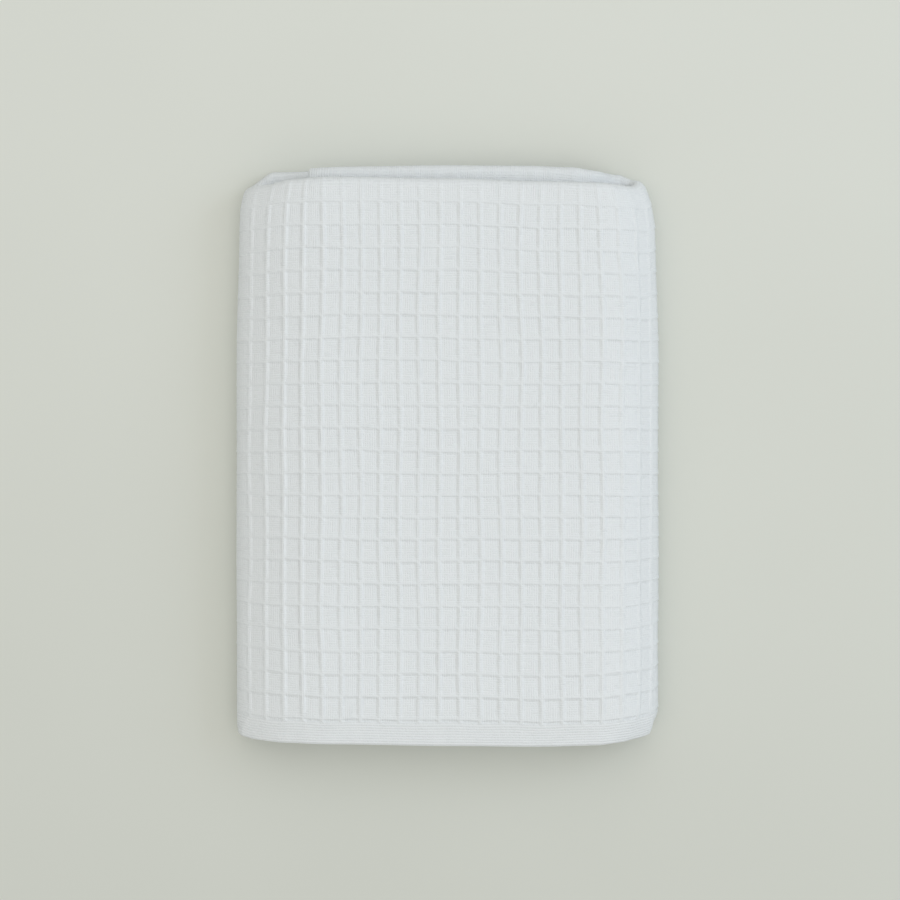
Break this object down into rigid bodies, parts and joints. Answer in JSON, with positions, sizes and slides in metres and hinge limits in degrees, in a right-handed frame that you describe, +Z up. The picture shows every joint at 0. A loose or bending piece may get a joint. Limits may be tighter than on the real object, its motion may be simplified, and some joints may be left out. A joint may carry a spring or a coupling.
{
  "type": "washcloth",
  "caption": "Square white waffle-weave cotton washcloth with plain hems, folded in half and then in thirds, lying flat.",
  "frame": {"origin": "middle of the folded stack's footprint, on the surface it rests on", "axes": "+Z up through the six plies; +Y along the stack, from the hems to the half fold; +X across the stack to the right"},
  "size_m": [0.1256, 0.1712, 0.0204],
  "materials": {
    "waffle_cotton": "white cotton in a waffle weave with flat plain hems, matt and unprinted"
  },
  "bodies": {
    "root": {"washcloth": "waffle_cotton"}
  },
  "joints": []
}
